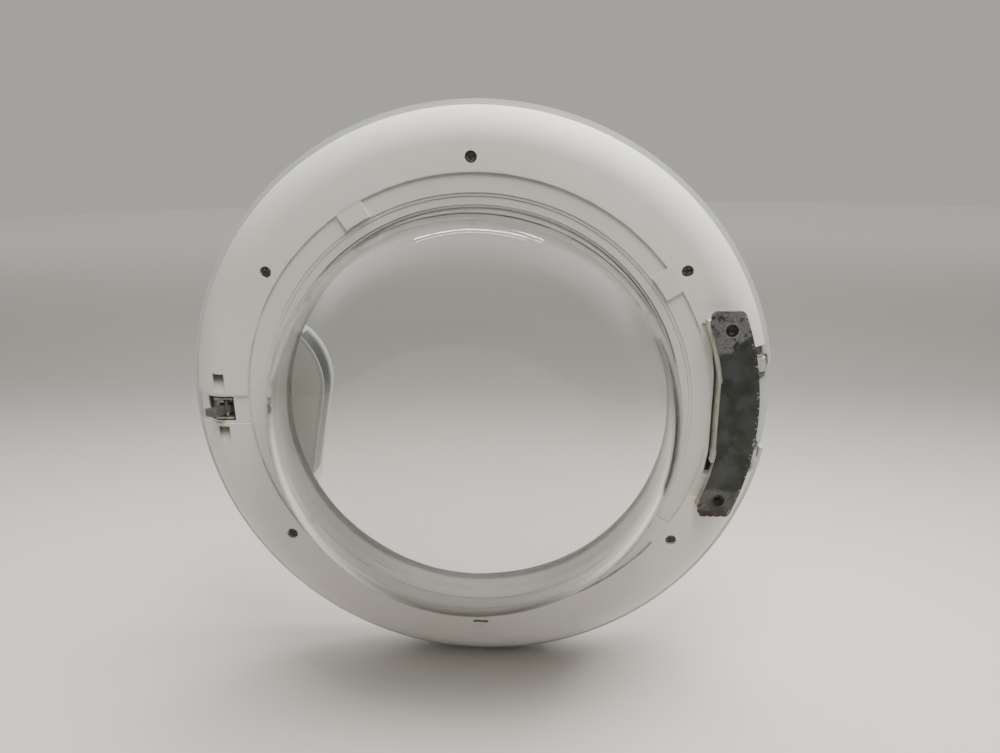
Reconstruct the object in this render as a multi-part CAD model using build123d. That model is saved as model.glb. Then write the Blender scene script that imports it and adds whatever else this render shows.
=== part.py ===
from build123d import *
import os
from math import asin, cos, radians, sin, sqrt, tan

# Front-loading washing machine door, in millimetres, standing as it hangs on the machine.
# The porthole axis runs along Y. The glass bowl bulges towards +Y, into the machine, and the
# front of the door looks towards -Y. The hinge is at -X and the latch and grip are at +X.
# Depths named below are measured from the flat face of the inner frame, which lies at y = 0
# until the whole door is moved so that its origin is at the middle of its overall depth.

# Glass bowl
bowl_root_radius = 159.0      # outside of the bowl where it passes the inner frame's face
bowl_reach = 107.0            # from the inner frame's face to the end of the bowl
glass_thickness = 5.0
bowl_draft = 12.0
bowl_shoulder_radius = 60.0
bowl_crown_angle = 5.0
root_fillet = 3.0
flange_thickness = 6.0
glass_clearance = 0.3

# Widths across the door, from the glass outwards
opening_gap = 11.6            # between the glass and the edge of the inner frame's opening
flange_hold = 6.4             # how far the glass flange reaches behind that edge
band_width = 13.4             # sunk band around the opening
screw_land = 10.5             # from the band to the circle of screws
edge_land = 11.5              # from the circle of screws to the rolled edge
roll_width = 24.6             # rolled edge of the inner frame
rim_step = 4.4                # rim of the front frame that shows around the inner frame
port_gap = 1.0                # the porthole in the front frame is this much wider than the bowl
opening_radius = bowl_root_radius + opening_gap
flange_radius = opening_radius + flange_hold
band_radius = opening_radius + band_width
screw_circle = band_radius + screw_land
frame_flat_radius = screw_circle + edge_land
frame_radius = frame_flat_radius + roll_width
rim_radius = frame_radius + rim_step
port_radius = bowl_root_radius + port_gap

# Depths of the inner frame and the glass flange
frame_wall = 2.6
band_sink = 1.6
roll_depth = 13.6             # where the rolled edge ends
skirt_height = 3.4
collar_height = 0.6
bridge_angles = (60.0, 145.0, 215.0, 300.0)   # places where the sunk band is left full height
bridge_width_angle = 6.8
skirt_depth = roll_depth + skirt_height
flange_top = band_sink + frame_wall + collar_height
flange_bottom = flange_top + flange_thickness
collar_depth = flange_top - glass_clearance

# Depths of the front frame
front_wall = 2.6
lip_gap = 0.5                 # between the two frames at the rim
rim_height = 11.5             # straight part of the rim
front_bulge = 23.0            # from the straight part of the rim to the crown of the front
rim_roll = 5.5                # width of the round between the rim and the front
port_lip = 2.4                # width of the round at the edge of the porthole
port_flare = 23.0             # how much wider the porthole is at the front than at the glass
shelf_beyond = 1.0            # the shelf that carries the glass is this much wider than it
rim_lip_hold = 1.6            # how far the rim's lip reaches under the inner frame
port_rise = 6.0               # the edge of the porthole lies this far behind the crown
rim_lip_depth = skirt_depth + lip_gap
rim_straight_depth = rim_lip_depth + rim_height
front_depth = rim_straight_depth + front_bulge
port_edge_depth = front_depth - port_rise
port_front_radius = port_radius + port_flare
front_crown_radius = (port_front_radius + rim_radius) / 2 - 1.5
shelf_depth = flange_bottom + glass_clearance
flare_depth = rim_lip_depth + front_wall
shelf_radius = flange_radius + shelf_beyond
rim_lip_radius = frame_radius - rim_lip_hold

# Screws through the inner frame
screw_angles = (90.0, 35.0, 145.0, 215.0, 325.0)
screw_well_radius = 4.5
screw_well_depth = 5.2
screw_floor = 2.8
screw_boss_wall = 2.2
screw_head_radius = 3.9
screw_head_height = 2.4
screw_shank_radius = 2.1
screw_length = 20.0
screw_clearance = 0.25
pilot_clearance = 0.05
pilot_beyond = 2.0            # the pilot hole goes this much deeper than the screw
pillar_radius = 5.0
pillar_gap = 0.1
screw_seat = -screw_well_depth

# Slot at the bottom of the inner frame
slot_width = 13.0
slot_height = 2.2
slot_offset = 0.3             # it lies this far inside the circle of screws
slot_mark_height = 4.0
slot_mark_sink = 0.6
slot_radius = screw_circle - slot_offset

# Finger grip: a lobe of the front frame that reaches into the porthole. Each round of the
# lobe and of its opening is given as x from the edge of the porthole, z and radius.
grip_ends = ((22.5, 17.0, 55.0), (16.0, -68.0, 30.0))
grip_mouth_ends = ((-9.5, 30.0, 14.0), (1.0, -46.0, 12.0))
grip_under_ring = 30.0        # how far the lobe runs under the ring of the front frame
grip_rear_gap = 7.2           # between the glass flange and the rear edge of the lobe
grip_front_step = 1.0
grip_cup_wall = 2.0
grip_cup_clearance = 0.3
grip_outer_radius = port_radius + grip_under_ring
grip_rear_depth = flange_bottom + grip_rear_gap
grip_front_depth = port_edge_depth + grip_front_step

# Latch window in the inner frame, with a channel around it and a pocket on either side
window_offset = 13.0          # from the sunk band to the window
window_width = 22.0
window_half_height = 10.3
channel_step = 1.9
channel_offset = 1.4
pocket_width = 9.0
pocket_height = 15.0
pocket_gap = 4.4
pocket_sink = 3.6
window_inner_x = band_radius + window_offset
window_outer_x = window_inner_x + window_width
channel_half_height = window_half_height + channel_step
channel_inner_x = opening_radius + channel_offset
pocket_centre_x = window_inner_x + 10.0
pocket_centre_z = window_half_height + pocket_gap + pocket_height / 2

# Latch bracket, pin, hook and spring
latch_sheet = 1.5
latch_pin_offset = 7.5        # from the window's inner edge
latch_pin_depth = 5.0
latch_pin_radius = 1.25
latch_ear_inset = 2.9         # the ears stand this far inside the window
latch_ear_rise = 2.6          # top of the ears above the pin's middle
latch_web_drop = 7.0          # face of the web below the pin's middle
latch_web_shift = 1.5
latch_corner_radius = 2.2
latch_ear_step = 6.0          # the ears end this far before the web
latch_screw_gap = 4.3         # from an ear to the middle of its screw, and on to the end
latch_slot_width = 9.0
hook_half_width = 2.9
hook_hub_radius = 3.8
hook_reach = 10.5             # height of the hook above the inner frame's face
hook_nose_length = 13.0       # from the pin to the tip of the nose
hook_throat_depth = 4.6       # underside of the nose above the inner frame's face
hook_neck = 6.2
spring_wire_radius = 0.45
spring_turns = 3
spring_leg_gap = 0.15
spring_leg_height = 1.05      # where its other leg crosses to the back of the hook
latch_pin_x = window_inner_x + latch_pin_offset
latch_ear_half_gap = window_half_height - latch_ear_inset
latch_ear_top_depth = latch_pin_depth - latch_ear_rise
latch_web_depth = latch_pin_depth + latch_web_drop
latch_web_inner_x = window_inner_x + latch_web_shift
latch_web_outer_x = window_outer_x + latch_web_shift
latch_screw_z = latch_ear_half_gap + latch_sheet + latch_screw_gap
latch_flange_half = latch_screw_z + latch_screw_gap
latch_screw_x = latch_pin_x + 6.5
hook_nose_x = latch_pin_x + hook_nose_length

# Hinge pin, the plate's ears that hold it and the clip on its end
pin_inset = 16.0              # from the rim to the pin's middle
pin_depth = 13.0
pin_radius = 3.0
pin_fit = 0.02
ear_half_gap = 28.4
ear_hub_radius = 7.0
ear_root_width = 7.0
ear_root_offset = 9.5         # from the pin to the middle of the ear's root
pin_head_radius = 4.6
pin_head_height = 1.6
pin_end_gap = 0.4
clip_groove_depth = 0.6
clip_thickness = 1.0
clip_radius = 5.2
running_fit = 0.05
pin_x = rim_radius - pin_inset
ear_root_x = pin_x - ear_root_offset
ear_root_inner_x = ear_root_x - ear_root_width / 2

# Hinge plate that screws to the cabinet. Rust has eaten round bites out of its lower end, each
# given as x from the inner end of the plate, height above its lower edge and radius.
plate_face_height = 11.0      # its face above the inner frame's face
plate_sheet = 2.5
plate_inset = 1.2             # its outer edge inside the circle through the pin
plate_width = 26.5
plate_half_length = 83.7
plate_corner_cut = 14.3
plate_pad_step = 3.3          # straight pad on its inner side
plate_pad_half = 27.0
plate_corner_radius = 4.5
plate_hole_from_end = 14.5
plate_hole_radius = 3.15
plate_counterbore_radius = 4.6
plate_counterbore_depth = 0.7
plate_bites = ((0.0, 11.0, 2.6), (1.0, 2.2, 1.1), (7.6, -1.4, 2.1), (12.2, -1.0, 1.5), (18.6, -1.2, 1.9))
plate_outer_radius = pin_x - plate_inset
plate_inner_radius = plate_outer_radius - plate_width
plate_end_x = plate_inner_radius - plate_corner_cut
plate_pad_x = plate_inner_radius - plate_pad_step
plate_hole_z = plate_half_length - plate_hole_from_end

# Lugs of the bracket and the bushes in them
bush_wall = 1.4
bush_flange_radius = 6.0
bush_flange = 1.2
bush_fit = 0.03
bush_seat = 0.05
lug_gap = 0.3
lug_length = 10.6
lug_radius = 6.5
lug_foot_width = 20.0
lug_foot_offset = 4.5         # from the pin to the middle of the lug's foot
lug_inner = ear_half_gap + plate_sheet + lug_gap + bush_flange + bush_seat
lug_outer = lug_inner + lug_length

# Cast bracket that carries the pin inside the door
bracket_gap = 1.0             # between the turning ears and the bracket
bracket_rim_gap = 1.0         # between the bracket and the inside of the rim
bracket_thickness = 3.0
bracket_beyond_lug = 6.95
bracket_width = 31.5
bracket_beyond_pin = 6.0
bracket_corner_radius = 4.0
bracket_screw_edge = 5.5      # from its inner edge
bracket_screw_end = 3.5       # from its ends
bracket_mid_screw_z = 14.0
bracket_screw_tip_gap = 11.0  # between the tip of its screws and the crown of the front
bracket_top_depth = pin_depth + ear_hub_radius + bracket_gap
bracket_half_length = lug_outer + bracket_beyond_lug
bracket_outer_x = pin_x + bracket_beyond_pin
bracket_inner_x = bracket_outer_x - bracket_width
bracket_screw_x = bracket_inner_x + bracket_screw_edge
bracket_end_screw_z = bracket_half_length - bracket_screw_end
bracket_screw_z = (bracket_end_screw_z, bracket_mid_screw_z, -bracket_mid_screw_z, -bracket_end_screw_z)
bracket_screw_length = front_depth - bracket_top_depth - bracket_screw_tip_gap

# Pocket for the hinge in the two frames
sink_beyond_hole = 3.4
notch_beyond_lug = 9.95
notch_flat_half = 32.0
notch_offset = 0.5            # from the sunk band
notch_slant = 3.2
notch_wall = 2.2
notch_wall_depth = 12.0
rim_cut_gap = 4.5             # beside each ear
rim_lip_gap = 1.0             # between the lip of the rim and each lug
rim_cut_under = 2.5           # below the bracket
pad_margin = 2.5              # the front frame's pad below the cut, beyond each side
pad_gap = 0.3
hinge_sink_half = plate_hole_z + sink_beyond_hole
notch_half = lug_outer + notch_beyond_lug
notch_inner_x = band_radius + notch_offset
notch_end_x = notch_inner_x - notch_slant
rim_cut_half = ear_half_gap + plate_sheet + rim_cut_gap
rim_cut_depth = bracket_top_depth + bracket_thickness + rim_cut_under
rim_lip_gap_half = lug_outer + rim_lip_gap
pad_inner_x = pin_x + lug_radius + pad_gap

# Plastic spacer under the hinge plate
spacer_gap = 0.1
spacer_end_inset = 7.7
spacer_inner_step = 2.7       # its inner edge shows beside the plate
spacer_outer_inset = 6.8
spacer_foot_height = 0.4      # underside of its ends above the inner frame's face
spacer_block_gap = 2.0        # between its block and the upper end of the notch
spacer_block_low_gap = 15.0   # and the lower end of the notch
spacer_low_cover = 0.5        # its lower end stays this far inside the edge of the plate
spacer_block_step = 2.2       # between its block and the side of the notch
spacer_block_depth = 9.0
spacer_hole_radius = 3.4
spacer_ear_gap = 0.4
spacer_skin = 2.5
spacer_web = 2.4
spacer_core_count = 4
spacer_corner_radius = 2.0
spacer_end_reach = 4.0        # its curved ends run this far beyond the side of the block
spacer_end_step = 2.0         # and this far inside the plate's ends
spacer_block_clear = 0.5      # between its block and the root of the ears
spacer_half_length = plate_half_length - spacer_end_inset
spacer_inner_radius = plate_inner_radius - spacer_inner_step
spacer_outer_radius = plate_outer_radius - spacer_outer_inset
spacer_block_high = notch_half - spacer_block_gap
spacer_block_low = -notch_half + spacer_block_low_gap
spacer_block_inner_x = notch_inner_x + spacer_block_step
spacer_block_outer_x = ear_root_inner_x - spacer_block_clear

# The middle of the door's overall depth, and how far cutters reach past what they cut
mid_depth = (bowl_reach - front_depth) / 2
past = 5.0


def block(x0, x1, y0, y1, z0, z1):
    """Box between two corners, whichever way round each pair is given."""
    size = (abs(x1 - x0), abs(y1 - y0), abs(z1 - z0))
    return Pos((x0 + x1) / 2, (y0 + y1) / 2, (z0 + z1) / 2) * Box(*size)


def bar_y(radius, y0, y1, x=0.0, z=0.0):
    """Round bar along the depth of the door."""
    return Pos(x, (y0 + y1) / 2, z) * Rot(90, 0, 0) * Cylinder(radius, abs(y1 - y0))


def bar_z(radius, z0, z1, x=0.0, y=0.0):
    """Round bar standing upright."""
    return Pos(x, y, (z0 + z1) / 2) * Cylinder(radius, abs(z1 - z0))


def prism(outline, y_rear, y_front):
    """Outline drawn in X and Z, carried from y_rear forwards to y_front."""
    plane = Plane(origin=(0, y_rear, 0), x_dir=(1, 0, 0), z_dir=(0, -1, 0))
    return extrude(plane * outline, amount=y_rear - y_front)


def level(outline, z0, z1):
    """Outline drawn in X and Y, carried upwards from z0 to z1."""
    return extrude(Pos(0, 0, z0) * outline, amount=z1 - z0)


def spun(*edges):
    """Closed profile of radius and depth turned about the porthole axis."""
    return revolve(make_face(edges), Axis.Y, 360)


def polar(radius, angle):
    """Point in X and Z at an angle counted from the latch side."""
    return radius * cos(radians(angle)), radius * sin(radians(angle))


def front_body(inset, rear_y):
    """Full round of the front frame, drawn in by inset all over, up to rear_y."""
    lip = port_lip
    slope = port_flare / (port_edge_depth - lip - flare_depth)
    spread = sqrt(1 + slope**2) * inset
    inner = port_radius + inset
    kink = -flare_depth + (spread - inset) / slope
    front = port_front_radius + spread - slope * inset
    outer = rim_radius - inset
    crown = -(front_depth - inset)
    edge = -(port_edge_depth - inset)
    side = -rim_straight_depth
    roll_r = rim_radius - rim_roll - 0.8 * inset
    roll_y = -(rim_straight_depth + front_bulge * 0.52 - 0.6 * inset)
    roll_mid_y = -(rim_straight_depth + front_bulge * 0.28 - 0.2 * inset)
    roll_mid = (rim_radius - 0.27 * rim_roll - inset, roll_mid_y)
    return spun(
        Polyline((outer, side), (outer, rear_y), (inner, rear_y), (inner, kink), (front, edge + lip)),
        ThreePointArc((front, edge + lip), (front + 0.45 * lip, edge + 0.25 * lip), (front + lip, edge)),
        ThreePointArc((front + lip, edge), (front_crown_radius, crown), (roll_r, roll_y)),
        ThreePointArc((roll_r, roll_y), roll_mid, (outer, side)),
    )


def round_ended(ends, grow):
    """Outline drawn tight round two circles, widened by grow."""
    first, last = [Pos(port_radius + x, z) * Circle(radius + grow) for x, z, radius in ends]
    return make_hull(first.edges() + last.edges())


def grip_outline(inset):
    """Outline of the grip lobe, drawn in by inset; its outer side is an arc under the ring."""
    return round_ended(grip_ends, -inset) & Circle(grip_outer_radius - inset)


def grip_mouth(grow):
    """Outline of the finger opening in the front face, widened by grow."""
    return round_ended(grip_mouth_ends, grow)


def pillar(x, z, top_y, body):
    """Screw pillar that stands on the inside of the front skin."""
    return bar_y(pillar_radius, -front_depth, top_y, x, z) & body


def glass_shelf():
    """Ledge round the porthole that carries the flange of the glass."""
    depth = shelf_depth + front_wall
    return bar_y(shelf_radius, -depth, -shelf_depth) - bar_y(port_radius, -depth - past, past)


def rim_lip():
    """Ledge inside the rim, under the edge of the inner frame, left out beside the hinge."""
    depth = rim_lip_depth + front_wall
    lip = bar_y(rim_radius, -depth, -rim_lip_depth) - bar_y(rim_lip_radius, -depth - past, past)
    return lip - block(-rim_radius - past, 0.0, -depth - past, 0.0, -rim_lip_gap_half, rim_lip_gap_half)


def front_frame():
    """Moulded front of the door: a channel of round section with the grip lobe and pillars."""
    outer = front_body(0.0, -rim_lip_depth)
    outer += front_body(0.0, -shelf_depth) & bar_y(port_radius + front_wall, -front_depth, -shelf_depth)
    lobe_front = -grip_front_depth
    outer += prism(grip_outline(0.0), -grip_rear_depth, lobe_front)
    hollow = front_body(front_wall, past)
    hollow += prism(grip_outline(front_wall), -shelf_depth, lobe_front + front_wall)
    shell = outer - hollow + glass_shelf() + rim_lip()
    shell -= prism(grip_mouth(0.0), lobe_front + 2 * front_wall, -front_depth - past)
    body = front_body(0.0, -rim_lip_depth)
    pilot = screw_shank_radius + pilot_clearance
    for angle in screw_angles:
        x, z = polar(screw_circle, angle)
        shell += pillar(x, z, -(screw_well_depth + screw_floor + pillar_gap), front_body(0.0, 0.0))
        shell -= bar_y(pilot, screw_seat - screw_length - pilot_beyond, 0.0, x, z)
    for side in (-1, 1):
        x, z = latch_screw_x, side * latch_screw_z
        shell += pillar(x, z, -(latch_web_depth + latch_sheet), front_body(0.0, 0.0))
        shell -= bar_y(pilot, -latch_web_depth - screw_length - pilot_beyond, 0.0, x, z)
    for z in bracket_screw_z:
        top = -(bracket_top_depth + bracket_thickness)
        shell += pillar(-bracket_screw_x, z, top, body)
        tip = -bracket_top_depth - bracket_screw_length
        shell -= bar_y(pilot, tip - pilot_beyond, 0.0, -bracket_screw_x, z)
    pad_half = notch_half + pad_margin
    shell += block(-rim_radius, -pad_inner_x, -front_depth, -rim_cut_depth,
                   -pad_half, pad_half) & body
    shell -= block(-rim_radius - past, -frame_flat_radius, -rim_cut_depth, 0.0,
                   -rim_cut_half, rim_cut_half)
    return shell


def frame_body(inset, bottom_y):
    """Full round of the inner frame, drawn in by inset under its face, down to bottom_y."""
    bend = (roll_width**2 + roll_depth**2) / (2 * roll_depth)
    outer = frame_radius - inset
    radius = bend - inset
    edge_y = -bend + sqrt(radius**2 - (roll_width - inset) ** 2)
    half = asin(roll_width / bend) / 2
    mid = (frame_flat_radius + radius * sin(half), -bend + radius * cos(half))
    inner = opening_radius - (1.0 if inset else 0.0)
    return spun(
        Polyline((outer, edge_y), (outer, bottom_y), (inner, bottom_y), (inner, -inset),
                 (frame_flat_radius, -inset)),
        ThreePointArc((frame_flat_radius, -inset), mid, (outer, edge_y)),
    )


def skin(top, bottom):
    """Shell of the inner frame between two depths under its face."""
    return frame_body(top, -skirt_depth) - frame_body(bottom, -skirt_depth - past)


def sunk_zones():
    """Space of the sunk band, the hinge seat and the latch channel, full depth."""
    band = bar_y(band_radius, -front_depth, past)
    for angle in bridge_angles:
        wedge = Polyline((0, 0), polar(rim_radius, angle - bridge_width_angle / 2),
                         polar(rim_radius, angle + bridge_width_angle / 2), (0, 0))
        band -= prism(make_face(wedge), past, -front_depth)
    seat = block(-frame_flat_radius, -channel_inner_x, -front_depth, past,
                 -hinge_sink_half, hinge_sink_half)
    seat &= bar_y(frame_flat_radius, -front_depth, past)
    channel = block(channel_inner_x, rim_radius, -front_depth, past,
                    -channel_half_height, channel_half_height)
    return band + seat + channel


def notch_outline(grow):
    """Outline of the hinge notch in the inner frame, open to the outside."""
    half, flat = notch_half + grow, notch_flat_half + grow
    side, end = -(notch_inner_x - grow), -(notch_end_x - grow)
    far = -rim_radius - past
    return make_face(Polyline((side, -flat), (side, flat), (end, half), (far, half),
                              (far, -half), (end, -half), (side, -flat)))


def inner_frame():
    """Moulded ring behind the front frame, with the screw wells, latch window and hinge notch."""
    zones = sunk_zones()
    ring = (skin(0.0, frame_wall) - zones) + (skin(band_sink, band_sink + frame_wall) & zones)
    collar = bar_y(opening_radius + frame_wall, -collar_depth, -band_sink - frame_wall / 2)
    ring += collar - bar_y(opening_radius, -front_depth, past)
    for angle in screw_angles:
        x, z = polar(screw_circle, angle)
        depth = screw_well_depth + screw_floor
        ring += bar_y(screw_well_radius + screw_boss_wall, -depth, -frame_wall / 2, x, z)
        ring -= bar_y(screw_well_radius, -screw_well_depth, past, x, z)
        ring -= bar_y(screw_shank_radius + screw_clearance, -front_depth, past, x, z)
    ring -= block(window_inner_x, window_outer_x, -latch_web_depth, past,
                  -window_half_height, window_half_height)
    for side in (-1, 1):
        ring = ramp_pocket(ring, side * pocket_centre_z)
    ring -= block(-slot_width / 2, slot_width / 2, -front_depth, past,
                  -slot_radius - slot_height / 2, -slot_radius + slot_height / 2)
    mark = make_face(Polyline((-slot_width / 3, -slot_radius - slot_height),
                              (slot_width / 3, -slot_radius - slot_height),
                              (0, -slot_radius - slot_height - slot_mark_height),
                              (-slot_width / 3, -slot_radius - slot_height)))
    ring -= prism(mark, past, -slot_mark_sink)
    return hinge_notch(ring)


def ramp_pocket(ring, centre_z):
    """Small pocket with a sloping floor above or below the latch window."""
    x0, x1 = pocket_centre_x - pocket_width / 2, pocket_centre_x + pocket_width / 2
    z0, z1 = centre_z - pocket_height / 2, centre_z + pocket_height / 2
    wall = frame_wall * 0.8
    backing = block(x0 - wall, x1 + wall, -pocket_sink - 1.5 * wall, -wall / 2, z0 - wall, z1 + wall)
    ring += backing & frame_body(frame_wall / 5, -skirt_depth)
    ramp = make_face(Polyline((past, z0), (-pocket_sink / 3, z0), (-pocket_sink, z1 - pocket_height / 7),
                              (-pocket_sink, z1), (past, z1), (past, z0)))
    plane = Plane(origin=(x0, 0, 0), x_dir=(0, 1, 0), z_dir=(1, 0, 0))
    return ring - extrude(plane * ramp, amount=x1 - x0)


def hinge_notch(ring):
    """Cut the hinge notch and give it the walls that return into the door."""
    walls = prism(notch_outline(notch_wall), -frame_wall / 2, -notch_wall_depth)
    ring += walls & frame_body(frame_wall / 5, -skirt_depth)
    return ring - prism(notch_outline(0.0), past, -front_depth)


def bowl_body(inset, base_y):
    """Round of the bowl drawn in by inset: a drafted wall, a shoulder and a crowned end."""
    d, c = radians(bowl_draft), radians(bowl_crown_angle)
    rho = bowl_shoulder_radius
    known = bowl_root_radius - rho * cos(d) - (bowl_reach - rho + rho * sin(d)) * tan(d)
    centre_r = known / (1 - tan(c / 2) * tan(d))
    centre_y = bowl_reach - rho - centre_r * tan(c / 2)
    arc_r = rho - inset
    start = (centre_r + arc_r * cos(d), centre_y + arc_r * sin(d))
    mid_angle = (d + radians(90.0) - c) / 2
    mid = (centre_r + arc_r * cos(mid_angle), centre_y + arc_r * sin(mid_angle))
    end = (centre_r + arc_r * sin(c), centre_y + arc_r * cos(c))
    crown_r = centre_r / sin(c) + arc_r
    crown_y = bowl_reach - inset - crown_r
    half = (crown_r * sin(c / 2), crown_y + crown_r * cos(c / 2))
    root = (start[0] + (start[1] - base_y) * tan(d), base_y)
    top = (0.0, bowl_reach - inset)
    return make_face([
        Polyline(top, (0.0, base_y), root, start),
        ThreePointArc(start, mid, end),
        ThreePointArc(end, half, top),
    ])


def glass_bowl():
    """Pressed glass bowl with the flat flange that the two frames clamp."""
    flange = make_face(Polyline((0, -flange_bottom), (flange_radius, -flange_bottom),
                                (flange_radius, -flange_top), (0, -flange_top),
                                (0, -flange_bottom)))
    face = bowl_body(0.0, -flange_bottom) + flange
    foot = bowl_root_radius + flange_top * tan(radians(bowl_draft))
    corner = face.vertices().sort_by_distance((foot, -flange_top, 0))[0]
    face = fillet(corner, root_fillet)
    solid = revolve(face, Axis.Y, 360)
    return solid - revolve(bowl_body(glass_thickness, -flange_bottom - past), Axis.Y, 360)


def grip_cup():
    """Moulded cup that lines the finger opening and closes it from behind."""
    inset = front_wall + grip_cup_clearance
    rear = -grip_rear_depth
    lid = prism(grip_outline(inset), rear, rear - grip_cup_wall)
    wall = prism(grip_mouth(grip_cup_wall), rear - grip_cup_wall / 2, -front_depth)
    wall -= prism(grip_mouth(0.0), rear - grip_cup_wall, -front_depth - past)
    room = front_body(inset, 0.0)
    room += prism(grip_outline(inset), 0.0, -grip_front_depth + inset)
    return lid + (wall & room)


def cross_head_screw(x, z, seat_y, length):
    """Pan head screw with a cross recess, its head on the machine side."""
    top = seat_y + screw_head_height
    head = bar_y(screw_head_radius, seat_y, top, x, z)
    rim = head.edges().filter_by(GeomType.CIRCLE).sort_by(Axis.Y)[-1]
    head = fillet(rim, screw_head_height * 0.45)
    arm, slot = screw_head_radius * 0.62, screw_head_radius * 0.16
    floor = top - screw_head_height * 0.55
    head -= block(x - arm, x + arm, floor, top + past, z - slot, z + slot)
    head -= block(x - slot, x + slot, floor, top + past, z - arm, z + arm)
    return head + bar_y(screw_shank_radius, seat_y - length, seat_y, x, z)


def latch_bracket():
    """Folded steel bracket: a web on two pillars and two ears for the hook's pin."""
    y0, y1 = -latch_web_depth - latch_sheet, -latch_web_depth
    plate = block(latch_web_inner_x, latch_web_outer_x, y0, y1, -latch_flange_half, latch_flange_half)
    plate = fillet(plate.edges().filter_by(Axis.Y), latch_corner_radius)
    for side in (-1, 1):
        z0 = side * latch_ear_half_gap
        z1 = z0 + side * latch_sheet
        ear = block(latch_web_inner_x, latch_web_outer_x - latch_ear_step, y0 + latch_sheet / 2,
                    -latch_ear_top_depth, z0, z1)
        plate += fillet(ear.edges().filter_by(Axis.Z).sort_by(Axis.Y)[-2:], latch_corner_radius)
        plate -= bar_y(screw_shank_radius + screw_clearance, -front_depth, 0.0,
                       latch_screw_x, side * latch_screw_z)
    middle = (latch_web_inner_x + latch_web_outer_x) / 2
    plate -= block(middle - latch_slot_width / 2, middle + latch_slot_width / 2, y0 - past, y1 + past / 10,
                   -latch_sheet, latch_sheet)
    hole = latch_pin_radius + pin_fit
    return plate - bar_z(hole, -latch_screw_z, latch_screw_z, latch_pin_x, -latch_pin_depth)


def latch_pin():
    """Thin pin through the bracket's ears, with a head at its upper end."""
    reach = latch_ear_half_gap + latch_sheet + pin_end_gap
    top = reach + latch_pin_radius * 0.56
    head = bar_z(latch_pin_radius * 1.5, reach, top, latch_pin_x, -latch_pin_depth)
    return bar_z(latch_pin_radius, -reach - pin_end_gap, reach, latch_pin_x, -latch_pin_depth) + head


def latch_hook():
    """Cast hook: a hub on the pin, a leaning neck and a nose that points outwards."""
    hub = Pos(latch_pin_x, -latch_pin_depth) * Circle(hook_hub_radius)
    neck_out = hook_nose_x - 5.0
    neck_in = neck_out - hook_neck
    heel = (latch_pin_x - hook_hub_radius * 0.9, -latch_pin_depth)
    back = (neck_in, hook_reach - 2.5)
    crown = (neck_in + 5.0, hook_reach)
    brow = (hook_nose_x - 2.0, hook_reach - 0.9)
    beak = (hook_nose_x - 1.0, hook_throat_depth)
    body = make_face([
        Line(heel, back),
        ThreePointArc(back, (neck_in + 2.2, hook_reach - 0.5), crown),
        Line(crown, brow),
        ThreePointArc(brow, (hook_nose_x, hook_reach - 3.0), beak),
        Polyline(beak, (neck_out, hook_throat_depth - 0.6),
                 (latch_pin_x + hook_hub_radius * 0.8, -latch_pin_depth - 1.0), heel),
    ])
    solid = level(body + hub, -hook_half_width, hook_half_width)
    reach = 2 * hook_half_width
    bore = bar_z(latch_pin_radius + running_fit, -reach, reach, latch_pin_x, -latch_pin_depth)
    return solid - bore


def latch_spring():
    """Torsion spring round the pin: one leg stands on the web, the other bears on the hook."""
    coil_r = latch_pin_radius + spring_wire_radius + 0.35
    low = hook_half_width + spring_wire_radius + 0.25
    height = spring_turns * (2 * spring_wire_radius + 0.12)
    coil = Helix(height / spring_turns, height, coil_r, lefthand=True)
    wire = Plane(origin=coil @ 0, z_dir=coil % 0) * Circle(spring_wire_radius)
    spring = Pos(latch_pin_x, -latch_pin_depth, low) * Rot(0, 0, 180) * sweep(wire, path=coil)
    x, top = latch_pin_x - coil_r, low + height
    leg_r = spring_wire_radius - 0.04
    spring += bar_y(leg_r, -latch_web_depth + spring_leg_gap, -latch_pin_depth + 0.1, x, low)
    spring += bar_y(leg_r, -latch_pin_depth - 0.1, spring_leg_height, x, top)
    spring += Pos(x, spring_leg_height, top) * Sphere(leg_r + 0.01)
    return spring + bar_z(leg_r, 0.0, top, x, spring_leg_height)


def plate_outline():
    """Curved plate outline with a straight pad on its inner side and rounded ends."""
    band = Circle(plate_outer_radius) - Circle(plate_inner_radius)
    middle = -(plate_end_x + plate_outer_radius) / 2
    window = Pos(middle, 0) * Rectangle(plate_outer_radius - plate_end_x, 2 * plate_half_length)
    outline = band & window
    outline = fillet(outline.vertices().group_by(Axis.Y)[0], plate_corner_radius)
    outline = fillet(outline.vertices().group_by(Axis.Y)[-1], plate_corner_radius)
    pad_width = plate_inner_radius - plate_pad_x + 2.0
    return outline + Pos(-plate_pad_x - pad_width / 2, 0) * Rectangle(pad_width, 2 * plate_pad_half)


def plate_hole_x():
    """Holes lie on the middle line of the curved plate."""
    middle = (plate_inner_radius + plate_outer_radius) / 2
    return -sqrt(middle**2 - plate_hole_z**2)


def hinge_plate():
    """Stamped steel plate with two ears bent forwards to hold the pin."""
    back = plate_face_height - plate_sheet
    plate = prism(plate_outline(), plate_face_height, back)
    for side in (-1, 1):
        z0 = side * ear_half_gap
        z1 = z0 + side * plate_sheet
        plate += level(ear_outline(), min(z0, z1), max(z0, z1))
        x, z = plate_hole_x(), side * plate_hole_z
        above = plate_face_height + past
        plate -= bar_y(plate_hole_radius, back - past, above, x, z)
        plate -= bar_y(plate_counterbore_radius, plate_face_height - plate_counterbore_depth, above, x, z)
    for inset, height, radius in plate_bites:
        plate -= bar_y(radius, back - past, above, -plate_end_x - inset, -plate_half_length + height)
    return plate - bar_z(pin_radius + pin_fit, -lug_outer, lug_outer, -pin_x, -pin_depth)


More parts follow.
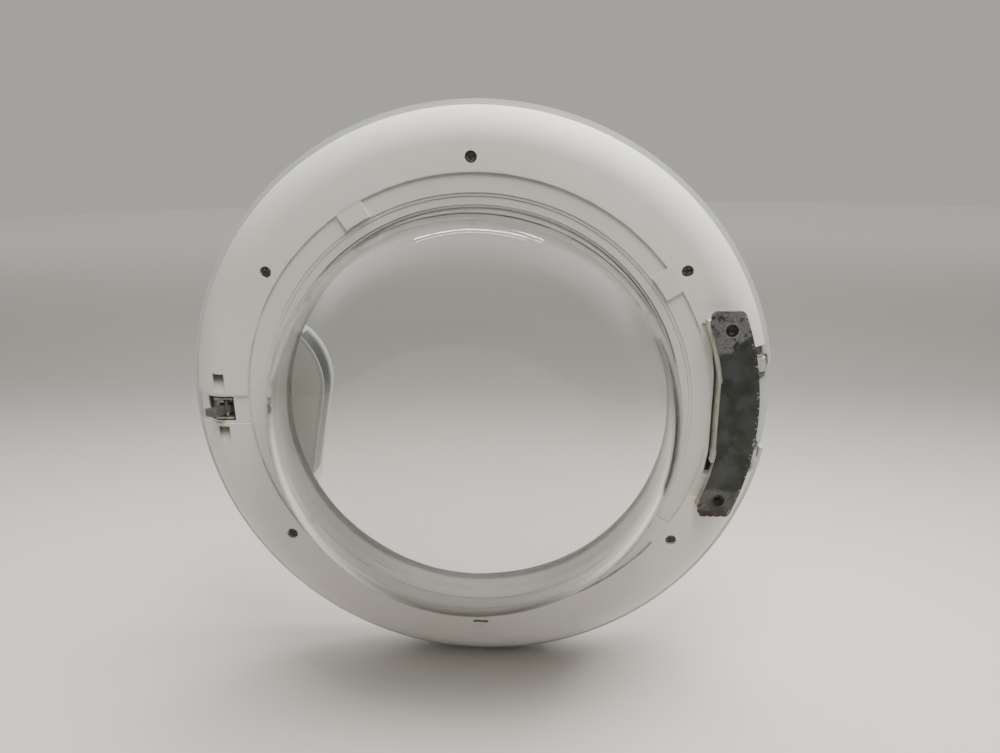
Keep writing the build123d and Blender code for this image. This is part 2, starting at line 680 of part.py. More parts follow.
def ear_outline():
    """Side view of an ear: the plate's edge drawn down to a round hub on the pin."""
    back = plate_face_height - plate_sheet
    hub = Pos(-pin_x, -pin_depth) * Circle(ear_hub_radius)
    height = plate_sheet * 0.4
    root = Pos(-ear_root_x, back + height / 2) * Rectangle(ear_root_width, height)
    return make_hull(hub.edges() + root.edges())


def hinge_pin():
    """Headed pin with a groove for its retaining clip."""
    reach = lug_outer + pin_end_gap
    x, y = -pin_x, -pin_depth
    pin = bar_z(pin_radius, -reach - 2.5 * clip_thickness, reach, x, y)
    head = bar_z(pin_head_radius, reach, reach + pin_head_height, x, y)
    head = fillet(head.edges().filter_by(GeomType.CIRCLE).sort_by(Axis.Z)[-1], pin_head_height * 0.5)
    groove = bar_z(pin_radius + past, -reach - clip_thickness, -reach, x, y)
    groove -= bar_z(pin_radius - clip_groove_depth, -reach - past, -reach + past, x, y)
    return pin + head - groove


def retaining_clip():
    """Open spring clip in the pin's groove."""
    reach = lug_outer + pin_end_gap
    x, y = -pin_x, -pin_depth
    inner = pin_radius - clip_groove_depth + running_fit
    z1 = -reach - 0.05
    z0 = z1 - clip_thickness + 0.1
    ring = bar_z(clip_radius, z0, z1, x, y) - bar_z(inner, z0 - past, z1 + past, x, y)
    return ring - block(x - inner * 0.8, x + inner * 0.8, y, y + 2 * clip_radius, z0 - past, z1 + past)


def hinge_spacer():
    """Moulded spacer: curved ends under the plate and a block that fills the hinge pocket."""
    top = plate_face_height - plate_sheet - spacer_gap
    band = Circle(spacer_outer_radius) - Circle(spacer_inner_radius)
    outer = spacer_block_outer_x + spacer_end_reach
    inner = plate_end_x - spacer_end_step
    window = Pos(-(outer + inner) / 2, 0)
    band &= window * Rectangle(outer - inner, 2 * spacer_half_length)
    hidden = Circle(plate_inner_radius + spacer_low_cover) & Pos(0, -rim_radius) * Rectangle(
        2 * rim_radius, 2 * (rim_radius + spacer_block_low))
    ends = prism(band - hidden, top, spacer_foot_height)
    block_body = block(-spacer_block_outer_x, -spacer_block_inner_x, -spacer_block_depth, top,
                       spacer_block_low, spacer_block_high)
    block_body = fillet(block_body.edges().filter_by(Axis.Y), spacer_corner_radius)
    block_body -= spacer_cores()
    solid = ends + block_body
    for side in (-1, 1):
        solid -= bar_y(spacer_hole_radius, -past, top + past, plate_hole_x(), side * plate_hole_z)
        ear_low = ear_half_gap - spacer_ear_gap
        ear_high = ear_half_gap + plate_sheet + spacer_ear_gap
        solid -= block(-spacer_outer_radius - past, -spacer_block_outer_x, -front_depth, top + past,
                       side * ear_low, side * ear_high)
    return solid


def spacer_cores():
    """Cores that lighten the block from the front, with webs between them."""
    first = spacer_block_low + spacer_skin
    pitch = (spacer_block_high - spacer_skin + spacer_web - first) / spacer_core_count
    floor = spacer_foot_height + spacer_skin
    cores = []
    for i in range(spacer_core_count):
        z = first + i * pitch
        cores.append(block(-spacer_block_outer_x + spacer_skin, -spacer_block_inner_x - spacer_skin,
                           -spacer_block_depth - past, floor, z, z + pitch - spacer_web))
    return Compound(cores)


def hinge_bracket():
    """Cast bracket screwed inside the front frame, with a lug for each end of the pin."""
    y0, y1 = -bracket_top_depth - bracket_thickness, -bracket_top_depth
    base = block(-bracket_outer_x, -bracket_inner_x, y0, y1, -bracket_half_length, bracket_half_length)
    base = fillet(base.edges().filter_by(Axis.Y), bracket_corner_radius)
    base &= bar_y(rim_radius - front_wall - bracket_rim_gap, -front_depth, 0.0)
    height = bracket_thickness / 3
    foot = Pos(-(pin_x - lug_foot_offset), y1 - height / 2) * Rectangle(lug_foot_width, height)
    hub = Pos(-pin_x, -pin_depth) * Circle(lug_radius)
    side_view = make_hull(hub.edges() + foot.edges())
    for side in (-1, 1):
        z0, z1 = sorted((side * lug_inner, side * lug_outer))
        base += level(side_view, z0, z1)
    for z in bracket_screw_z:
        base -= bar_y(screw_shank_radius + screw_clearance, -front_depth, 0.0, -bracket_screw_x, z)
    bore = pin_radius + running_fit + bush_wall + bush_fit
    return base - bar_z(bore, -lug_outer - past, lug_outer + past, -pin_x, -pin_depth)


def hinge_bush(side):
    """Flanged plastic bush between the pin and one lug."""
    x, y = -pin_x, -pin_depth
    outer = pin_radius + running_fit + bush_wall
    seat = lug_inner - bush_seat
    sleeve = bar_z(outer, side * (seat - bush_flange / 2), side * lug_outer, x, y)
    flange = bar_z(bush_flange_radius, side * (seat - bush_flange), side * seat, x, y)
    reach = lug_outer + past
    return sleeve + flange - bar_z(pin_radius + running_fit, -reach, reach, x, y)


nodes = {
    "front_frame": front_frame(),
    "inner_frame": inner_frame(),
    "glass_bowl": glass_bowl(),
    "grip_cup": grip_cup(),
    "latch_bracket": latch_bracket(),
    "latch_pin": latch_pin(),
    "latch_hook": latch_hook(),
    "latch_spring": latch_spring(),
    "hinge_plate": hinge_plate(),
    "hinge_spacer": hinge_spacer(),
    "hinge_pin": hinge_pin(),
    "retaining_clip": retaining_clip(),
    "hinge_bracket": hinge_bracket(),
    "hinge_bush_upper": hinge_bush(1),
    "hinge_bush_lower": hinge_bush(-1),
}
for number, angle in enumerate(screw_angles, start=1):
    x, z = polar(screw_circle, angle)
    nodes[f"frame_screw_{number}"] = cross_head_screw(x, z, screw_seat, screw_length)
for number, side in enumerate((1, -1), start=1):
    nodes[f"latch_screw_{number}"] = cross_head_screw(
        latch_screw_x, side * latch_screw_z, -latch_web_depth, screw_length)
for number, z in enumerate(bracket_screw_z, start=1):
    nodes[f"bracket_screw_{number}"] = cross_head_screw(
        -bracket_screw_x, z, -bracket_top_depth, bracket_screw_length)

os.makedirs("parts", exist_ok=True)
for name, solid in nodes.items():
    placed = Pos(0, -mid_depth, 0) * solid
    export_step(placed, f"parts/{name}.step")
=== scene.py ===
import bpy
import numpy as np
from mathutils import Matrix, Vector


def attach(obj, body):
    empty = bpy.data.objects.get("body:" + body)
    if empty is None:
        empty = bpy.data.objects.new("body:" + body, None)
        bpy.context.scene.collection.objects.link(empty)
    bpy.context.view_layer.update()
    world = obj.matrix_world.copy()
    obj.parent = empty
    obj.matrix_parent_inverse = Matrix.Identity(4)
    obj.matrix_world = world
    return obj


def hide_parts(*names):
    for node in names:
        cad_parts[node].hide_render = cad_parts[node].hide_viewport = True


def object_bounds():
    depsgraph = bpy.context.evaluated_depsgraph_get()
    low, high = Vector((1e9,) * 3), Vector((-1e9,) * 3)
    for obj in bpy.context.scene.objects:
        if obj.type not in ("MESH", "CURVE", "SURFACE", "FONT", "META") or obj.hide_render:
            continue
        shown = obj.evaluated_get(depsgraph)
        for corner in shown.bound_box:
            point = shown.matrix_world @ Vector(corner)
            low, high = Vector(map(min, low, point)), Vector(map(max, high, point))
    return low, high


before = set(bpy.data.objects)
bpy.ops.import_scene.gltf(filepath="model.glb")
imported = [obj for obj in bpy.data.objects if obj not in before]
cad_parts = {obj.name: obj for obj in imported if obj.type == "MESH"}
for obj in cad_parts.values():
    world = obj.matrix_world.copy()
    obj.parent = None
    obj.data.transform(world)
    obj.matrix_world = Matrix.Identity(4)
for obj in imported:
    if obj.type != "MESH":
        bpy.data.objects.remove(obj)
cad_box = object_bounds()

# Front frame: the outer face of the door, one injection moulding in glossy pale blue-grey
# plastic, with the lobe of the finger grip reaching into the porthole. Everything else is
# screwed to its pillars. From behind only its rim and its lobe show.


class Field:
    """A value that varies over a surface, held in one output socket of a material's nodes.
    Arithmetic on it adds Math nodes; node() adds any other kind."""

    def __init__(self, tree, socket):
        self.tree, self.socket = tree, socket

    def node(self, kind, settings, sockets, output=0):
        """A node of that kind, with its settings made first and then its sockets filled."""
        made = self.tree.nodes.new("ShaderNode" + kind)
        for name, value in settings.items():
            setattr(made, name, value)
        for name, value in sockets.items():
            if isinstance(value, Field):
                self.tree.links.new(value.socket, made.inputs[name])
            else:
                made.inputs[name].default_value = value
        return Field(self.tree, made.outputs[output])

    def math(self, operation, first, second=0.0):
        return self.node("Math", {"operation": operation}, {0: first, 1: second})

    def __add__(self, other):
        return self.math("ADD", self, other)

    def __radd__(self, other):
        return self.math("ADD", other, self)

    def __sub__(self, other):
        return self.math("SUBTRACT", self, other)

    def __rsub__(self, other):
        return self.math("SUBTRACT", other, self)

    def __mul__(self, other):
        return self.math("MULTIPLY", self, other)

    def __rmul__(self, other):
        return self.math("MULTIPLY", other, self)

    def __pow__(self, power):
        return self.math("POWER", self, power)

    def __abs__(self):
        return self.math("ABSOLUTE", self)

    def most(self, other):
        return self.math("MAXIMUM", self, other)

    def rise(self, low, high):
        """0 at low, 1 at high, smooth between them; low may be the larger one."""
        return self.node("MapRange", {"interpolation_type": "SMOOTHSTEP"},
                         {"Value": self, "From Min": low, "From Max": high})

    def tint(self, low, high):
        """Colour that goes from low to high as this value goes from 0 to 1."""
        low, high = [c if isinstance(c, Field) else (*c, 1.0) for c in (low, high)]
        return self.node("Mix", {"data_type": "RGBA"}, {0: self, 6: low, 7: high}, 2)

    def axes(self):
        """The three coordinates of a place."""
        return [self.node("SeparateXYZ", {}, {"Vector": self}, axis) for axis in "XYZ"]

    def grain(self, scale, detail=4.0, stretch=(1.0, 1.0, 1.0)):
        """Noise between 0 and 1 with about `scale` lumps to the metre, longer where stretch is small."""
        place = self.node("Mapping", {}, {"Vector": self, "Scale": stretch})
        return self.node("TexNoise", {}, {"Vector": place, "Scale": scale, "Detail": detail})

    def bump(self, depth, strength=1.0):
        """Surface normal shaken by this height; depth is in metres."""
        return self.node("Bump", {}, {"Height": self, "Distance": depth, "Strength": strength})


def new_finish(name, constants):
    """A material with constant shader sockets, and the place on the piece as a Field."""
    material = bpy.data.materials.new(name)
    material.use_nodes = True
    tree = material.node_tree
    for socket, value in constants.items():
        tree.nodes["Principled BSDF"].inputs[socket].default_value = value
    return material, Field(tree, tree.nodes.new("ShaderNodeTexCoord").outputs["Object"])


def vary(material, fields):
    """Lead fields to the shader's sockets."""
    shader = material.node_tree.nodes["Principled BSDF"]
    for socket, field in fields.items():
        material.node_tree.links.new(field.socket, shader.inputs[socket])


def dress(names, material):
    """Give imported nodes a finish."""
    for name in names:
        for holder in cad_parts[name].material_slots:
            holder.material = material


rim_finish, place = new_finish("rim_plastic", {"IOR": 1.5, "Coat Weight": 0.15, "Coat Roughness": 0.12})
x, y, z = place.axes()
radius = (x * x + z * z) ** 0.5
seam_y, seam_radius = -0.0462, 0.224
notch_x, notch_y, notch_radius = -0.190, -0.048, 0.2304
lobe_y, lobe_radius = -0.074, 0.1586
cloud = place.grain(9.0, 3.0)
dust = place.grain(420.0, 5.0).rise(0.58, 0.72)
# Painted shade: the rim is darkened beside its seam with the inner frame, where shade falls between the
# two parts.
seam_shade = y.rise(seam_y, seam_y + 0.001) * radius.rise(seam_radius, seam_radius + 0.002)
body = cloud.tint((0.60, 0.625, 0.65), (0.66, 0.675, 0.685))
cream = radius.rise(notch_radius + 0.0016, notch_radius) * x.rise(notch_x, notch_x - 0.010)
cream = cream * y.rise(notch_y - 0.008, notch_y)
body = cream.tint(body, (0.64, 0.62, 0.565))
# Painted shade: the inward side of the grip lobe is painted near-black on the pale plastic.
lobe_side_shade = radius.rise(lobe_radius + 0.0008, lobe_radius) * y.rise(seam_y, seam_y - 0.0012)
lobe_side_shade = lobe_side_shade * y.rise(lobe_y, lobe_y + 0.013)
body = lobe_side_shade.tint(body, (0.062, 0.066, 0.068))
vary(rim_finish, {
    "Base Color": (dust * 0.25 + seam_shade * 0.35).tint(body, (0.36, 0.36, 0.35)),
    "Roughness": cloud * 0.12 + dust * 0.2 + 0.24,
    "Normal": place.grain(700.0, 2.0).bump(0.00002, 0.5),
})
dress(["front_frame"], rim_finish)

# Glass bowl: pressed clear glass with a flat flange that the two frames clamp. Its steep wall
# runs into a wide shoulder and a slightly crowned end, and pressing leaves faint ripples.

glass = {"root": 0.159, "reach": 0.107, "wall": 0.005, "lean": 3.5, "shoulder": 0.084, "crown": 5.0,
         "flange": 0.177, "flange_top": -0.0048, "flange_bottom": -0.0108, "fillet": 0.001,
         "edge": 0.0008, "door_middle": 0.0275}


def bowl_line(inset):
    """Radius and depth along the bowl, from its shoulder's foot to its middle: an arc of the
    shoulder's radius less inset, then an arc of the crown about a far centre on the axis."""
    lean, crown = np.radians(glass["lean"]), np.radians(glass["crown"])
    arc = glass["shoulder"]
    near = glass["root"] - arc * np.cos(lean) - (glass["reach"] - arc + arc * np.sin(lean)) * np.tan(lean)
    centre = near / (1 - np.tan(crown / 2) * np.tan(lean))
    height = glass["reach"] - arc - centre * np.tan(crown / 2)
    turn = np.linspace(lean, np.pi / 2 - crown, 40)
    shoulder = np.stack([centre + (arc - inset) * np.cos(turn), height + (arc - inset) * np.sin(turn)])
    far = centre / np.sin(crown) + arc - inset
    swing = np.linspace(crown, 0.0, 12)[1:]
    cap = np.stack([far * np.sin(swing), glass["reach"] - inset - far + far * np.cos(swing)])
    return np.concatenate([shoulder, cap], axis=1)


def bowl_profile():
    """Closed section of the bowl: outside from the middle to the flange, round the flange,
    and back along the inside to the middle."""
    outside, inside = bowl_line(0.0)[:, ::-1], bowl_line(glass["wall"])
    lean = np.radians(glass["lean"])

    def wall(start, depth):
        return start[0] + (start[1] - depth) * np.tan(lean)

    r, rim, edge = glass["fillet"], glass["edge"], glass["flange"]
    top, low = glass["flange_top"], glass["flange_bottom"]
    bend = np.linspace(lean, np.pi / 2, 8)
    foot = top + r * (1 - np.sin(lean))
    centre = wall(outside[:, -1], foot) + r * np.cos(lean)
    fillet = np.stack([centre - r * np.cos(bend), top + r - r * np.sin(bend)])
    run = np.linspace(0.02, 0.98, 14)
    drop = outside[1, -1] + (foot - outside[1, -1]) * run
    outer_wall = np.stack([wall(outside[:, -1], drop), drop])
    flange = np.array([[edge - rim, top], [edge - rim * 0.3, top - rim * 0.3], [edge, top - rim],
                       [edge, low + rim], [edge - rim * 0.3, low + rim * 0.3], [edge - rim, low]]).T
    rise_back = low + (inside[1, 0] - low) * np.linspace(0.0, 0.98, 16)
    inner_wall = np.stack([wall(inside[:, 0], rise_back), rise_back])
    return np.concatenate([outside, outer_wall, fillet, flange, inner_wall, inside], axis=1)


def turned(name, profile, steps):
    """Mesh of a closed profile of radius and depth carried round the porthole axis, its first
    and last points being poles on the axis: x = r cos t, z = r sin t, y = depth."""
    r, h = profile
    rings = len(r) - 2
    t = np.linspace(0.0, 2 * np.pi, steps, endpoint=False)
    ring_r, ring_h = r[1:-1, None], h[1:-1, None]
    points = np.stack([ring_r * np.cos(t), ring_h + 0 * t, ring_r * np.sin(t)], axis=-1).reshape(-1, 3)
    points = np.concatenate([points, [[0, h[0], 0], [0, h[-1], 0]]])
    a = np.arange(rings * steps).reshape(rings, steps)
    b = np.roll(a, -1, axis=1)
    quads = np.stack([a[:-1], b[:-1], b[1:], a[1:]], axis=-1).reshape(-1, 4)
    first = np.stack([np.full(steps, rings * steps), b[0], a[0]], axis=-1)
    last = np.stack([np.full(steps, rings * steps + 1), a[-1], b[-1]], axis=-1)
    mesh = bpy.data.meshes.new(name)
    mesh.from_pydata(points.tolist(), [], quads.tolist() + first.tolist() + last.tolist())
    mesh.shade_smooth()
    piece = bpy.data.objects.new(name, mesh)
    bpy.context.scene.collection.objects.link(piece)
    return piece


section = bowl_profile()
section[1] -= glass["door_middle"]
bowl = turned("bowl", section, 256)
# The grey of the glass is partly the dullness of old glass and partly painted shade that darkens all that
# shows through the bowl.
glass_finish, place = new_finish("clear_glass", {
    "Transmission Weight": 1.0, "IOR": 1.5, "Base Color": (0.80, 0.805, 0.785, 1.0), "Roughness": 0.01})
film = place.grain(30.0, 5.0)
vary(glass_finish, {
    "Roughness": film.rise(0.45, 0.8) * 0.012 + 0.004,
    "Normal": place.grain(22.0, 1.0).bump(0.0004, 0.45),
})
bowl.data.materials.append(glass_finish)
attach(bowl, "door")
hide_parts("glass_bowl")

# Inner frame: the ring towards the machine, injection moulded in satin white plastic that has
# yellowed a little. It holds the glass by its collar and is screwed to the front frame. The
# thin sunk ledge at its opening, which closes the gap to the glass, is moulded with it.


def hoop(name, profile, steps):
    """Mesh of a closed outline of radius and depth carried round the porthole axis, clear of
    it: x = r cos t, z = r sin t, y = depth."""
    r, h = np.array(profile).T[:, :, None]
    t = np.linspace(0.0, 2 * np.pi, steps, endpoint=False)
    points = np.stack([r * np.cos(t), h + 0 * t, r * np.sin(t)], axis=-1).reshape(-1, 3)
    a = np.arange(len(profile) * steps).reshape(len(profile), steps)
    b, c = np.roll(a, -1, axis=1), np.roll(a, -1, axis=0)
    quads = np.stack([a, b, np.roll(b, -1, axis=0), c], axis=-1).reshape(-1, 4)
    mesh = bpy.data.meshes.new(name)
    mesh.from_pydata(points.tolist(), [], quads.tolist())
    piece = bpy.data.objects.new(name, mesh)
    bpy.context.scene.collection.objects.link(piece)
    return piece


frame_finish, place = new_finish("white_plastic", {"IOR": 1.48})
x, y, z = place.axes()
radius = (x * x + z * z) ** 0.5
step_radius, window_x, pocket_y = 0.184, 0.207, -0.0279
cloud = place.grain(7.0, 3.0)
fine = place.grain(55.0, 6.0)
body = cloud.rise(0.3, 0.7).tint((0.685, 0.663, 0.625), (0.745, 0.724, 0.692))
# Darker in a mottled band along the step at the edge of the sunk band.
step_band_dark = radius.rise(step_radius + 0.0016, step_radius + 0.0002) * fine.rise(0.35, 0.65)
step_band_dark = step_band_dark * radius.rise(step_radius - 0.0018, step_radius - 0.0002)
rub = fine.rise(0.56, 0.72) * cloud.rise(0.45, 0.6)
body = (step_band_dark * 0.35 + rub * 0.06).tint(body, (0.34, 0.31, 0.26))
# Painted shade: the floors of the two pockets above and below the latch window are painted dark olive and
# brown.
pocket = abs(x - window_x).rise(0.0052, 0.0042) * y.rise(pocket_y, pocket_y - 0.0005)
upper = pocket * z.rise(0.0160, 0.0280) * z.rise(0.0310, 0.0298)
lower = pocket * z.rise(-0.0280, -0.0170) * z.rise(-0.0150, -0.0160)
body = upper.tint(body, (0.110, 0.102, 0.070))
body = lower.tint(body, (0.190, 0.155, 0.115))
seep = abs(x - window_x - 0.002).rise(0.008, 0.002) * abs(z + 0.0155).rise(0.006, 0.001)
seep = seep * fine.rise(0.2, 0.6)
body = (seep * 0.45).tint(body, (0.30, 0.22, 0.15))
vary(frame_finish, {
    "Base Color": body,
    "Roughness": fine * 0.15 + 0.34,
    "Normal": place.grain(900.0, 2.0).bump(0.00002, 0.4),
})
dress(["inner_frame"], frame_finish)
ledge = {"outside": 0.1704, "opening": 0.1606, "groove": 0.1669,
         "under": -0.0319, "face": -0.0302, "lip": -0.0297, "chamfer": 0.0003}
ledge_ring = hoop("frame_ledge", [
    (ledge["outside"], ledge["under"]),
    (ledge["opening"], ledge["under"]),
    (ledge["opening"], ledge["face"] - ledge["chamfer"]),
    (ledge["opening"] + ledge["chamfer"], ledge["face"]),
    (ledge["groove"], ledge["face"]),
    (ledge["groove"] + ledge["chamfer"], ledge["lip"]),
    (ledge["outside"], ledge["lip"])], 256)
ledge_ring.data.materials.append(frame_finish)
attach(ledge_ring, "door")

# Screws: plated steel with a cross recess. Five are sunk in the wells of the inner frame, two
# hold the latch bracket and four the hinge bracket. Their heads have gone dark with age.

screw_finish, place = new_finish("screw_steel", {"IOR": 1.6})
tarnish = place.grain(900.0, 5.0)
vary(screw_finish, {
    "Base Color": tarnish.rise(0.35, 0.65).tint((0.05, 0.045, 0.035), (0.22, 0.20, 0.16)),
    "Metallic": tarnish.rise(0.7, 0.4) * 0.4 + 0.4,
    "Roughness": tarnish * 0.3 + 0.35,
})
dress([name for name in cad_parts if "_screw_" in name], screw_finish)

# Grip cup: a thin moulded cup that closes the finger opening from behind, clipped into the
# lobe of the front frame. It is the same plastic as the inner frame, in a duller shade.

cup_finish, place = new_finish("cup_plastic", {"IOR": 1.48})
cloud = place.grain(20.0, 4.0)
vary(cup_finish, {
    "Base Color": cloud.rise(0.3, 0.7).tint((0.74, 0.73, 0.67), (0.80, 0.79, 0.74)),
    "Roughness": cloud * 0.2 + 0.38,
    "Normal": place.grain(900.0, 2.0).bump(0.00002, 0.4),
})
dress(["grip_cup"], cup_finish)

# Latch: a die-cast hook turning on a thin pin between the ears of a folded steel bracket,
# returned by a torsion spring. Two screws hold the bracket under the window.

steel_finish, place = new_finish("plated_steel", {"IOR": 1.6})
spangle = place.grain(260.0, 4.0)
vary(steel_finish, {
    "Base Color": spangle.rise(0.35, 0.65).tint((0.30, 0.29, 0.27), (0.46, 0.45, 0.43)),
    "Metallic": spangle * 0.2 + 0.6,
    "Roughness": spangle * 0.3 + 0.3,
})
dress(["latch_bracket", "latch_pin", "hinge_pin"], steel_finish)

cast_finish, place = new_finish("zinc_casting", {"IOR": 1.6})
skin = place.grain(600.0, 5.0)
vary(cast_finish, {
    "Base Color": skin.rise(0.3, 0.7).tint((0.10, 0.105, 0.10), (0.17, 0.175, 0.175)),
    "Metallic": skin * 0.2 + 0.5,
    "Roughness": skin * 0.25 + 0.4,
    "Normal": skin.bump(0.00006, 0.6),
})
dress(["latch_hook"], cast_finish)

wire_finish, place = new_finish("spring_steel", {"Metallic": 0.9})
drawn = place.grain(1500.0, 3.0)
vary(wire_finish, {
    "Base Color": drawn.tint((0.16, 0.155, 0.15), (0.32, 0.31, 0.30)),
    "Roughness": drawn * 0.2 + 0.28,
})
dress(["latch_spring", "retaining_clip"], wire_finish)

# Hinge bracket: die-cast zinc with lugs for the bushes, screwed down inside the door. Damp has
# never reached it there, so it is still pale.

bracket_finish, place = new_finish("zinc_bracket", {"IOR": 1.6})
skin = place.grain(500.0, 5.0)
vary(bracket_finish, {
    "Base Color": skin.rise(0.3, 0.7).tint((0.42, 0.42, 0.40), (0.55, 0.55, 0.53)),
    "Metallic": skin * 0.15 + 0.3,
    "Roughness": skin * 0.25 + 0.4,
    "Normal": skin.bump(0.00006, 0.6),
})
dress(["hinge_bracket"], bracket_finish)

# Hinge bushes: flanged plain bearings in natural white plastic, pressed into the lugs. The pin
# turns in them and has rubbed them darker in places.

bush_finish, place = new_finish("bush_plastic", {"IOR": 1.5})
wear = place.grain(300.0, 4.0)
vary(bush_finish, {
    "Base Color": wear.rise(0.4, 0.7).tint((0.78, 0.76, 0.70), (0.58, 0.55, 0.48)),
    "Roughness": wear * 0.2 + 0.35,
})
dress(["hinge_bush_upper", "hinge_bush_lower"], bush_finish)

# Hinge spacer: a moulded block of dull greenish white plastic between the plate and the door,
# stained brown where damp has run off the steel.

spacer_finish, place = new_finish("spacer_plastic", {"IOR": 1.48})
z = place.axes()[2]
blot = place.grain(45.0, 5.0)
stain_z = -0.048
stain = z.rise(stain_z, stain_z - 0.008) * blot.rise(0.3, 0.6)
body = blot.rise(0.3, 0.7).tint((0.42, 0.44, 0.37), (0.56, 0.57, 0.50))
vary(spacer_finish, {
    "Base Color": (stain * 0.7).tint(body, (0.20, 0.13, 0.07)),
    "Roughness": blot * 0.2 + 0.42,
})
dress(["hinge_spacer"], spacer_finish)

# Hinge plate: stamped galvanised steel, worn dark where it lay against the cabinet, with pale
# prints round its two screw holes, fine scratches, and rust at its lower end.

plate_finish, place = new_finish("worn_steel", {"IOR": 1.6})
x, z = place.axes()[::2]
radius = (x * x + z * z) ** 0.5
hole_x, hole_z, hole_radius = -0.19249, 0.0692, 0.0046
middle_radius, edge_radius = 0.199, 0.216
zinc_z, foot_z, rust_z, rust_x = 0.0555, 0.064, -0.0768, -0.188
upper = ((x - hole_x) ** 2 + (z - hole_z) ** 2) ** 0.5
lower = ((x - hole_x) ** 2 + (z + hole_z) ** 2) ** 0.5
patch = place.grain(75.0, 6.0)
spangle = place.grain(420.0, 6.0)
scratch = place.grain(330.0, 3.0, (0.12, 1.0, 1.0))
body = patch.rise(0.35, 0.62).tint((0.015, 0.018, 0.014), (0.037, 0.041, 0.037))
# Painted reflection: a pale bluish sheen along the middle of the plate.
painted_sheen = abs(radius - middle_radius).rise(0.010, 0.002) * abs(z).rise(0.058, 0.045) * patch.rise(0.3, 0.6)
body = (painted_sheen * 0.35).tint(body, (0.055, 0.060, 0.072))
zinc = (z - (hole_x - x).most(0.0) * 1.1 + patch * 0.012).rise(zinc_z, zinc_z + 0.0035)
mottle = place.grain(1100.0, 4.0)
grey = mottle.rise(0.35, 0.65).tint((0.075, 0.074, 0.081), (0.205, 0.203, 0.220))
body = (zinc * (place.grain(170.0, 4.0) + mottle * 0.3).rise(0.50, 0.66)).tint(body, grey)
foot = (0.0 - z + patch * 0.010).rise(foot_z, foot_z + 0.005) * (mottle + patch).rise(0.78, 1.06)
body = (foot * 0.6).tint(body, (0.130, 0.125, 0.110))
# Painted shade: a near-black ring round each screw hole stands for the shade of its recess.
hole_ring_shade = upper.rise(hole_radius + 0.0004, hole_radius).most(lower.rise(hole_radius + 0.0004, hole_radius))
body = hole_ring_shade.tint(body, (0.010, 0.010, 0.009))
halo = upper.rise(hole_radius + 0.0018, hole_radius + 0.001) * spangle.rise(0.35, 0.5)
halo = halo * upper.rise(hole_radius, hole_radius + 0.0006)
body = (halo * 0.8).tint(body, (0.20, 0.20, 0.205))
body = (scratch.rise(0.69, 0.74) * 0.7).tint(body, (0.17, 0.18, 0.18))
fleck = radius.rise(edge_radius - 0.0008, edge_radius + 0.0008) * spangle.rise(0.56, 0.62)
body = fleck.tint(body, (0.34, 0.33, 0.27))
rust = z.rise(rust_z, rust_z - 0.0024) * (x + patch * 0.008).rise(rust_x, rust_x + 0.003)
body = rust.tint(body, spangle.rise(0.4, 0.6).tint((0.018, 0.008, 0.006), (0.062, 0.018, 0.013)))
vary(plate_finish, {
    "Base Color": body,
    "Metallic": (1 - rust) * 0.40,
    "Roughness": spangle * 0.30 + rust * 0.25 + 0.32,
    "Normal": (spangle + patch * 0.6).bump(0.00012, 0.7),
})
dress(["hinge_plate"], plate_finish)

# Floor: a plain pale disc under the door, reaching out to where it meets the even light. It is
# palest near the door, painted darker behind it as painted shade, and paler again far off.

span, thickness, clearance = 6.0, -0.01, 0.0002
floor = turned("floor", np.array([
    [0.0, 0.05, 0.6, span, span, 0.05, 0.0],
    [0.0, 0.0, 0.0, 0.0, thickness, thickness, thickness]]), 96)
corners = np.empty(len(floor.data.vertices) * 3)
floor.data.vertices.foreach_get("co", corners)
corners = corners.reshape(-1, 3) @ np.array([[1, 0, 0], [0, 0, 1], [0, -1, 0]])
corners[:, 2] += cad_box[0][2] - clearance
floor.data.vertices.foreach_set("co", corners.ravel())
floor_finish, place = new_finish("pale_floor", {"Roughness": 0.8, "Specular IOR Level": 0.2})
y = place.axes()[1]
speck = place.grain(14.0, 4.0)
near = speck.tint((0.655, 0.638, 0.598), (0.675, 0.658, 0.618))
# Painted shade: behind the door the floor darkens to its dimmest about a metre back.
middle_shade_tone = y.rise(-0.1, -0.9).tint(near, (0.32, 0.312, 0.292))
vary(floor_finish, {"Base Color": y.rise(-1.0, -3.2).tint(middle_shade_tone, (0.50, 0.488, 0.46))})
floor.data.materials.append(floor_finish)

# Light: a soft surround, pale behind the door, dim behind the camera and bright overhead, a
# wide soft lamp close above the door and a small one in the bowl, which no surface mirrors, and
# two narrow strips behind that draw the bright lines on the glass.

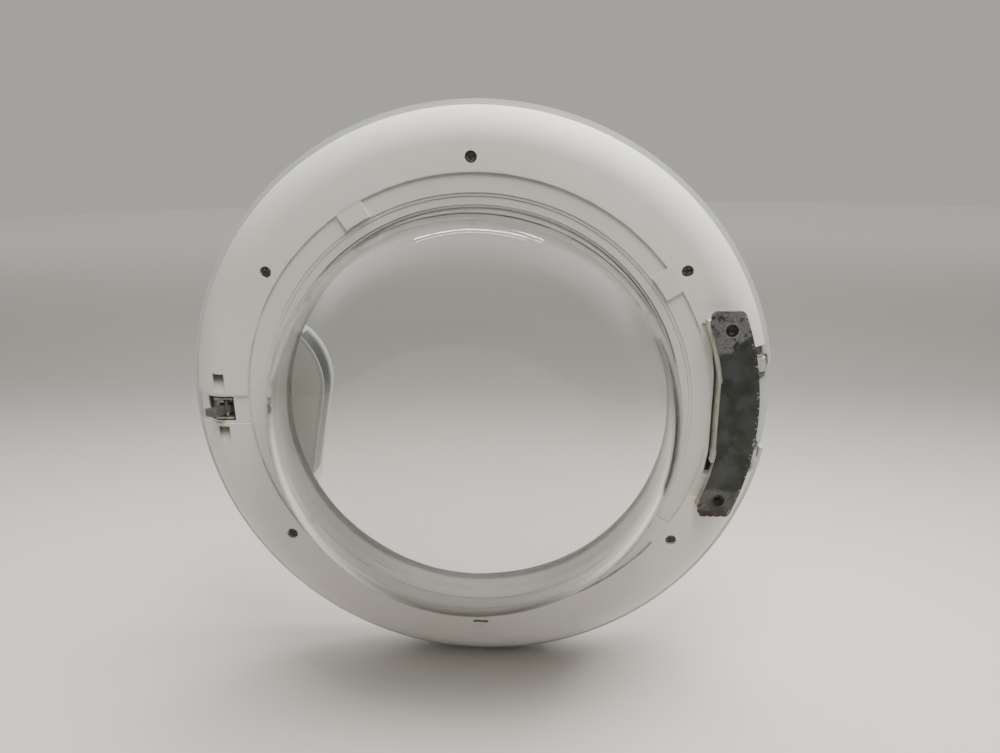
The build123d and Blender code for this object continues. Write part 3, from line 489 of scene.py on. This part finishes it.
world = bpy.data.worlds.new("surround")
world.use_nodes = True
sky = world.node_tree
direction = Field(sky, sky.nodes.new("ShaderNodeTexCoord").outputs["Generated"])
along, height = direction.axes()[1:]
shade = along.rise(-0.1, 0.5).tint((0.445, 0.425, 0.392), (0.12, 0.115, 0.107))
ceiling = along.rise(-0.3, 0.3).tint((1.60, 1.57, 1.51), (0.37, 0.363, 0.345))
glow = height.rise(0.24, 0.52).tint(shade, ceiling)
sky.links.new(glow.socket, sky.nodes["Background"].inputs["Color"])
bpy.context.scene.world = world
for name, spot, aim, size, power in (
        ("soft_lamp", (-0.24, 0.09, 0.85), (0.0, -0.05, 0.0), (0.8, 0.5), 18.0),
        ("bowl_fill", (-0.06, 0.03, 0.10), (0.16, -0.05, -0.02), (0.06, 0.06), 0.26),
        ("strip_near", (0.10, -0.75, 1.45), (0.0, 0.05, 0.1), (1.1, 0.03), 3.6),
        ("strip_far", (-0.10, -0.95, 1.30), (0.0, 0.05, 0.1), (0.9, 0.03), 3.0)):
    lamp_data = bpy.data.lights.new(name, "AREA")
    lamp_data.energy, lamp_data.color = power, (1.0, 0.972, 0.935)
    lamp_data.shape, lamp_data.size, lamp_data.size_y = "RECTANGLE", size[0], size[1]
    lamp = bpy.data.objects.new(name, lamp_data)
    lamp.location = spot
    lamp.rotation_mode = "QUATERNION"
    lamp.rotation_quaternion = (Vector(spot) - Vector(aim)).to_track_quat("Z", "Y")
    lamp.visible_glossy = lamp.visible_transmission = name.startswith("strip")
    bpy.context.scene.collection.objects.link(lamp)

# Camera: in front of the machine side, a little above the door's middle and towards the hinge,
# looking down by 17 degrees.

picture_width, focal_length = 1000, 740
lens = bpy.data.cameras.new("camera")
lens.sensor_width = 36.0
lens.lens = lens.sensor_width * focal_length / picture_width
lens.clip_start, lens.clip_end = 0.01, 50.0
camera = bpy.data.objects.new("camera", lens)
camera.matrix_world = Matrix((
    (-0.9984, 0.0059, -0.0565, -0.0520),
    (-0.0557, -0.2946, 0.9540, 0.5250),
    (-0.0110, 0.9556, 0.2945, 0.1999),
    (0.0, 0.0, 0.0, 1.0)))
bpy.context.scene.collection.objects.link(camera)
bpy.context.scene.camera = camera
